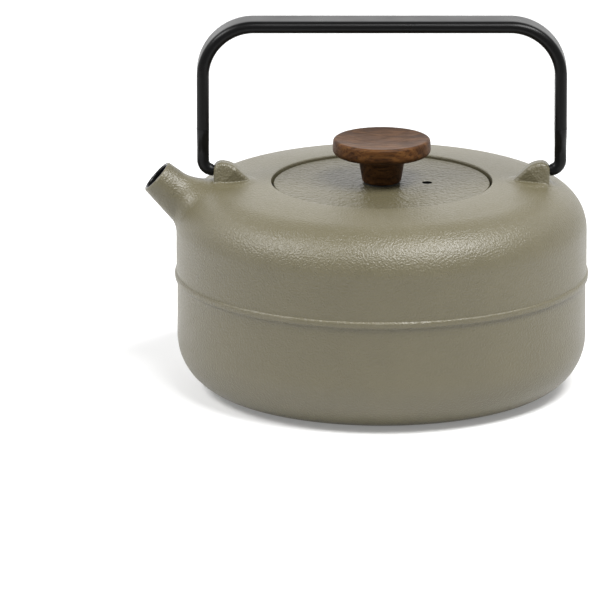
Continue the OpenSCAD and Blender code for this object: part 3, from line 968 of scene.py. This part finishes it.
def hook_rings():
    """The right hook from the plug's top to the pin's tip: height or bend angle, thickness, width."""
    e = 0.25 * MM
    upper = [
        (PLUG_TOP, PLUG_T - 2 * e, PLUG_W - 2 * e), (PLUG_TOP - e, PLUG_T, PLUG_W),
        (BAR_END + 0.01 * MM, PLUG_T, PLUG_W), (BAR_END, BAR_T, BAR_W),
        (BAR_END - 0.1 * MM, BAR_T + COLLAR_PROUD, BAR_W + COLLAR_PROUD),
        (COLLAR_Z + 0.1 * MM, BAR_T + COLLAR_PROUD, BAR_W + COLLAR_PROUD), (COLLAR_Z, BAR_T, BAR_W),
    ]
    steps = np.linspace(0.02, 1, 22)
    swage = [(COLLAR_Z - SWAGE * s, BAR_T + (ROD - BAR_T) * s,
              ROD + (BAR_W - ROD) * (1 - smoothstep(s))) for s in steps]
    straight = [(z, ROD, ROD) for z in line(COLLAR_Z - SWAGE - 0.7 * MM, PIVOT_Z + HOOK_BEND, 6)]
    places = upper + swage + straight
    z = np.array([p[0] for p in places])
    sections = [slot_ring(t, w, (BAR_W - w) / (BAR_W - ROD) if place < COLLAR_Z else 0.0)
                for place, t, w in places]
    path = np.stack([np.full(len(z), BAR_HALF), 0 * z, z], -1)
    normals = np.repeat([[1.0, 0, 0]], len(z), 0)
    bend = np.radians(np.linspace(0, -90, 21))
    centre = np.array([BAR_HALF - HOOK_BEND, PIVOT_Z + HOOK_BEND])
    round_path = centre + HOOK_BEND * np.stack([np.cos(bend), np.sin(bend)], -1)
    round_normals = np.stack([np.cos(bend), 0 * bend, np.sin(bend)], -1)
    end_x = centre[0]
    pin = [(end_x - 0.001 * MM, ROD - 0.5 * MM), (end_x - 0.02 * MM, 2 * PIN_R),
           (PIN_TIP + 0.4 * MM, 2 * PIN_R), (PIN_TIP, 2 * PIN_R - 0.8 * MM)]
    pin_path = np.array([[x, PIVOT_Z] for x, _ in pin])
    circle = [slot_ring(ROD, ROD, 1.0)] * len(bend) + [slot_ring(d, d, 1.0) for _, d in pin]
    path = np.concatenate([path, upright(round_path), upright(pin_path)])
    normals = np.concatenate([normals, round_normals, np.repeat([[0, 0, -1.0]], len(pin), 0)])
    return sweep(path, normals, np.array(sections + circle))


rings = hook_rings()
for hand, side in (("right", 1), ("left", -1)):
    flipped = rings * [side, 1, 1]
    rod = grid(flipped, start=flipped[0].mean(0), end=flipped[-1].mean(0))
    make(f"hook_rod_{hand}", [rod], [hook_paint], "bail", [f"bail_hook_{hand}"])

# %% [markdown]
# The infuser
#
# Thin stainless sheet: a flange that hangs on the seat with a drawn collar, a perforated wall rolled
# from sheet, and a pressed base. The holes of the wall are cut in the mesh, so that light passes.

# %% Infuser rim and base
rim_low, rim_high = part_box("infuser_rim")
base_low, base_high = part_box("infuser_base")
SHEET = 0.6 * MM
BASKET_R = base_high[0]
FLANGE_R = rim_high[0]
FLANGE_TOP = rim_high[2]
s2 = SHEET / 2
DRAW_R = 1.2 * MM  # outside of the bend where the collar is drawn down from the flange
rim_profile = np.concatenate([
    arc((FLANGE_R - s2, FLANGE_TOP - s2), s2, 90, -90, 9),
    line((FLANGE_R - 1 * MM, FLANGE_TOP - SHEET), (BASKET_R + 0.6 * MM, FLANGE_TOP - SHEET), 5),
    arc((BASKET_R + 0.6 * MM, FLANGE_TOP - SHEET - 0.6 * MM), 0.6 * MM, 90, 180, 6),
    line((BASKET_R, FLANGE_TOP - 2 * MM), (BASKET_R, rim_low[2] + s2), 5),
    arc((BASKET_R - s2, rim_low[2] + s2), s2, 0, -180, 9),
    line((BASKET_R - SHEET, rim_low[2] + 1 * MM), (BASKET_R - SHEET, FLANGE_TOP - DRAW_R), 5),
    arc((BASKET_R + 0.6 * MM, FLANGE_TOP - DRAW_R), DRAW_R, 180, 90, 9),
    line((BASKET_R + 1.5 * MM, FLANGE_TOP), (FLANGE_R - 1 * MM, FLANGE_TOP), 5)])
flange = grid(turn(rim_profile), loop=True)
make("infuser_flange", [flange], [brushed], "infuser", ["infuser_rim"])

base_z = base_low[2]
PAN_R, PAN_H = 1.2 * MM, 6 * MM
pan_bend = (BASKET_R - PAN_R, base_z + PAN_R)
flat_r = np.linspace(0.4, 38.0, 60) * MM
base_profile = np.concatenate([
    np.stack([flat_r, np.full(60, base_z)], -1),
    arc(pan_bend, PAN_R, -90, 0, 9),
    line((BASKET_R, base_z + 2 * MM), (BASKET_R, base_z + PAN_H - s2), 3),
    arc((BASKET_R - s2, base_z + PAN_H - s2), s2, 0, 180, 9),
    line((BASKET_R - SHEET, base_z + 5 * MM), (BASKET_R - SHEET, base_z + 1.4 * MM), 3),
    arc(pan_bend, PAN_R - SHEET, 0, -90, 7),
    np.stack([flat_r[::-1], np.full(60, base_z + SHEET)], -1)])
base_grid = grid(turn(base_profile), start=(0, 0, base_z), end=(0, 0, base_z + SHEET))
make("infuser_pan", [base_grid], [brushed], "infuser", ["infuser_base"])

# %% Perforated wall
wall_low, wall_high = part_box("infuser_wall")
MESH_R = wall_high[0]
AROUND, UP, HOLE = 110, 21, 0.62 * MM


def band(a, b):
    """Quads between two closed lines of points."""
    return np.stack([a, np.roll(a, -1, -1), np.roll(b, -1, -1), b], -1).reshape(-1, 4)


def perforated():
    """A tube of square cells, each with a round hole. A cell's edge has eight points, shared with its
    neighbours, and its hole another eight; the tube is this sheet outside and inside, joined at the
    holes and at both ends."""
    low, high = wall_low[2] + 1.0 * MM, wall_high[2] - 1.6 * MM
    pitch = (high - low) / UP
    i = np.arange(2 * AROUND) * np.pi / AROUND
    j = low + np.arange(2 * UP + 1) * pitch / 2
    lattice = np.stack(np.broadcast_arrays(i[None, :], j[:, None]), -1)
    rim = np.stack([i, 0 * i], -1)
    cells_i, cells_j = np.meshgrid(np.arange(AROUND), np.arange(UP))
    ring = np.radians(np.arange(8) * 45 + 45)
    centre = np.stack([(2 * cells_i + 1) * np.pi / AROUND, low + (cells_j + 0.5) * pitch], -1)
    holes = centre[:, :, None, :] + np.stack([HOLE / MESH_R * np.cos(ring), HOLE * np.sin(ring)], -1)
    flat = np.concatenate([lattice.reshape(-1, 2), holes.reshape(-1, 2),
                           rim + [0, wall_low[2]], rim + [0, wall_high[2]]])
    around = np.array([(1, 1), (0, 1), (-1, 1), (-1, 0), (-1, -1), (0, -1), (1, -1), (1, 0)])
    ci = (2 * cells_i[..., None] + 1 + around[:, 0]) % (2 * AROUND)
    cj = 2 * cells_j[..., None] + 1 + around[:, 1]
    edge = (cj * 2 * AROUND + ci).reshape(-1, 8)
    base = lattice.shape[0] * lattice.shape[1]
    hole = base + np.arange(AROUND * UP * 8).reshape(-1, 8)
    bottom = base + AROUND * UP * 8 + np.arange(2 * AROUND)
    top = bottom + 2 * AROUND
    first_row, last_row = np.arange(2 * AROUND), 2 * UP * 2 * AROUND + np.arange(2 * AROUND)
    sheet = np.concatenate([band(edge, hole), band(bottom, first_row), band(last_row, top)])
    n = len(flat)
    quads = np.concatenate([sheet, sheet[:, ::-1] + n, band(hole, hole + n), band(bottom + n, bottom),
                            band(top, top + n)])
    points = np.concatenate([np.stack([r * np.cos(flat[:, 0]), r * np.sin(flat[:, 0]), flat[:, 1]], -1)
                             for r in (MESH_R, MESH_R - SHEET)])
    used, compact = np.unique(quads, return_inverse=True)
    return {"points": points[used], "quads": compact.reshape(-1, 4), "quad_slots": np.zeros(len(quads), int),
            "triangles": np.zeros((0, 3), int), "triangle_slots": np.zeros(0, int)}


make("infuser_sieve", [perforated()], [brushed], "infuser", ["infuser_wall"])

# %% [markdown]
# Small parts kept from the frame
#
# The rubber ring, the threaded insert, the washer and the screw are plain turned parts whose exact
# shape the frame already has. They only need their own finishes.

# %% Finishes of the kept parts
for name, material in (("knob_gasket", rubber), ("knob_insert", brass), ("knob_washer", brushed),
                       ("knob_screw", brushed)):
    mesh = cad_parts[name].data
    mesh.materials.clear()
    mesh.materials.append(material)
    print(name, "takes", material.name)

# %% [markdown]
# Floor, light and camera
#
# A pale seamless floor in a bright room. The world is white round the sides and the back, dimmer
# overhead and in front. A long soft key light hangs in front, above and to the right, and a weaker
# fill light above and to the left. That gives the pale sheen on the crown, the dark band at the
# shoulder and the bright band below it. The camera sees the world as plain white.

# %% Floor
FLOOR_X, FLOOR_FRONT, FLOOR_BACK, FLOOR_Z = 3.0, -0.45, 3.0, -0.0001
floor_mesh = bpy.data.meshes.new("floor")
floor_corners = [(x, y, FLOOR_Z) for x, y in ((-FLOOR_X, FLOOR_FRONT), (FLOOR_X, FLOOR_FRONT),
                                              (FLOOR_X, FLOOR_BACK), (-FLOOR_X, FLOOR_BACK))]
floor_mesh.from_pydata(floor_corners, [], [(0, 1, 2, 3)])
floor = add("floor", floor_mesh)
paper, tree, shader, place = finish_material("pale_floor", (0.66, 0.66, 0.66), 0.9, Specular_IOR_Level=0.1,
                                             Emission_Color=(1, 1, 1, 1), Emission_Strength=0.2)
fibre = noise(tree, place, 30.0, 3.0)
tree.links.new(mixed(tree, fibre, (0.65, 0.65, 0.65, 1), (0.67, 0.67, 0.67, 1)), shader.inputs["Base Color"])
floor.data.materials.append(paper)

# %% World
world = bpy.data.worlds.new("studio")
bpy.context.scene.world = world
world.use_nodes = True
tree = world.node_tree
background = tree.nodes["Background"]
direction = tree.nodes.new("ShaderNodeTexCoord").outputs["Generated"]
parts = node(tree, "ShaderNodeSeparateXYZ", {0: direction}).outputs
overhead = between(tree, parts[2], 0.7, 0.9, 1.0, 0.15)
front = between(tree, parts[1], -0.6, 0.1, 0.4, 0.8)
back = between(tree, parts[1], 0.4, 0.95, 0.0, 0.8)
room = sum_of(tree, overhead, sum_of(tree, front, back), "MULTIPLY")
seen = tree.nodes.new("ShaderNodeLightPath").outputs["Is Camera Ray"]
tree.links.new(sum_of(tree, room, seen, "MAXIMUM"), background.inputs["Strength"])
background.inputs["Color"].default_value = (1, 1, 1, 1)


# %% Lights
def soft_light(name, place, aim, width, height, power):
    """A rectangular area light that faces a point."""
    data = bpy.data.lights.new(name, "AREA")
    data.shape = "RECTANGLE"
    data.size, data.size_y = width, height
    data.energy = power
    made = add(name, data)
    made.location = place
    made.rotation_euler = (Vector(aim) - Vector(place)).to_track_quat("-Z", "Y").to_euler()
    print(name, "light:", power, "W")


LIT_POINT = (0, 0, 0.06)
soft_light("key", (0.55, -0.55, 1.4), LIT_POINT, 1.3, 0.5, 44)
soft_light("fill", (-1.05, -0.3, 1.2), LIT_POINT, 0.8, 0.5, 20)

# %% Camera
ELEVATION = math.radians(15.2)
DISTANCE = 5.27
aim = np.array([-0.03577, 0.0, 0.03776])
camera_data = bpy.data.cameras.new("camera")
camera_data.lens = 720
camera_data.sensor_width = 36
camera_data.clip_end = 100
camera = add("camera", camera_data)
camera.location = aim + DISTANCE * np.array([0, -math.cos(ELEVATION), math.sin(ELEVATION)])
camera.rotation_euler = (math.pi / 2 - ELEVATION, 0, 0)
bpy.context.scene.camera = camera
bpy.context.scene.view_settings.view_transform = "Standard"
